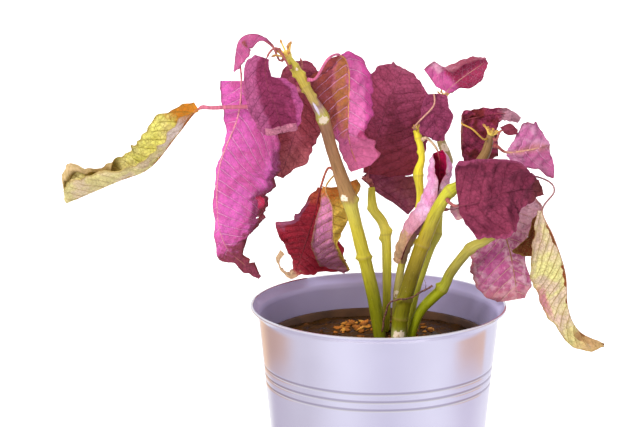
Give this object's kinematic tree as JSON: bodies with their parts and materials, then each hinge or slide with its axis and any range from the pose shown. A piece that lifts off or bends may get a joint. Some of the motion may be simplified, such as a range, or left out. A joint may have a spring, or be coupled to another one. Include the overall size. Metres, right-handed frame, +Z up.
{
  "type": "dead houseplant",
  "caption": "Withered potted poinsettia: green to tan forked stems with curled magenta, maroon and yellow dried bracts, in a tapered sheet-metal pot with a hemmed rim and rolled grooves.",
  "frame": {"origin": "centre of the pot's flat bottom", "axes": "+Z up; the show side faces -Y and the plant's longest leaf reaches towards -X"},
  "size_m": [0.3116, 0.1498, 0.2999],
  "materials": {
    "metal_pot": "satin",
    "nursery_pot": "satin",
    "soil": "rough",
    "stem_a": "satin",
    "stem_b": "satin",
    "stem_c": "satin",
    "stem_d": "satin",
    "stem_e": "satin",
    "stem_f": "satin",
    "bract_far_left": "matt",
    "bract_long_left": "matt",
    "bract_front_purple": "matt",
    "bract_top_hook": "matt",
    "bract_behind_stem": "matt",
    "bract_centre_left": "matt",
    "bract_low_left": "matt",
    "leaf_golden": "matt",
    "bract_dark_large": "matt",
    "bract_brown_low": "matt",
    "bract_dark_small": "matt",
    "bract_top_right": "matt",
    "bract_keyhole": "matt",
    "bract_pale_scrap": "matt",
    "bract_ribbon": "matt",
    "bract_scrap": "matt",
    "bract_right_pink": "matt",
    "bract_crumpled": "matt",
    "bract_right_hanging": "matt",
    "leaf_far_right": "matt",
    "flower_a": "matt",
    "flower_c": "matt",
    "flower_d": "matt",
    "flower_e": "matt",
    "dried_tendril": "matt"
  },
  "bodies": {
    "root": {"metal_pot": "metal_pot", "nursery_pot": "nursery_pot", "soil": "soil", "stem_a": "stem_a", "stem_b": "stem_b", "stem_c": "stem_c", "stem_d": "stem_d", "stem_e": "stem_e", "stem_f": "stem_f", "bract_far_left": "bract_far_left", "bract_long_left": "bract_long_left", "bract_front_purple": "bract_front_purple", "bract_top_hook": "bract_top_hook", "bract_behind_stem": "bract_behind_stem", "bract_centre_left": "bract_centre_left", "bract_low_left": "bract_low_left", "leaf_golden": "leaf_golden", "bract_dark_large": "bract_dark_large", "bract_brown_low": "bract_brown_low", "bract_dark_small": "bract_dark_small", "bract_top_right": "bract_top_right", "bract_keyhole": "bract_keyhole", "bract_pale_scrap": "bract_pale_scrap", "bract_ribbon": "bract_ribbon", "bract_scrap": "bract_scrap", "bract_right_pink": "bract_right_pink", "bract_crumpled": "bract_crumpled", "bract_right_hanging": "bract_right_hanging", "leaf_far_right": "leaf_far_right", "flower_a": "flower_a", "flower_c": "flower_c", "flower_d": "flower_d", "flower_e": "flower_e", "dried_tendril": "dried_tendril"}
  },
  "joints": []
}
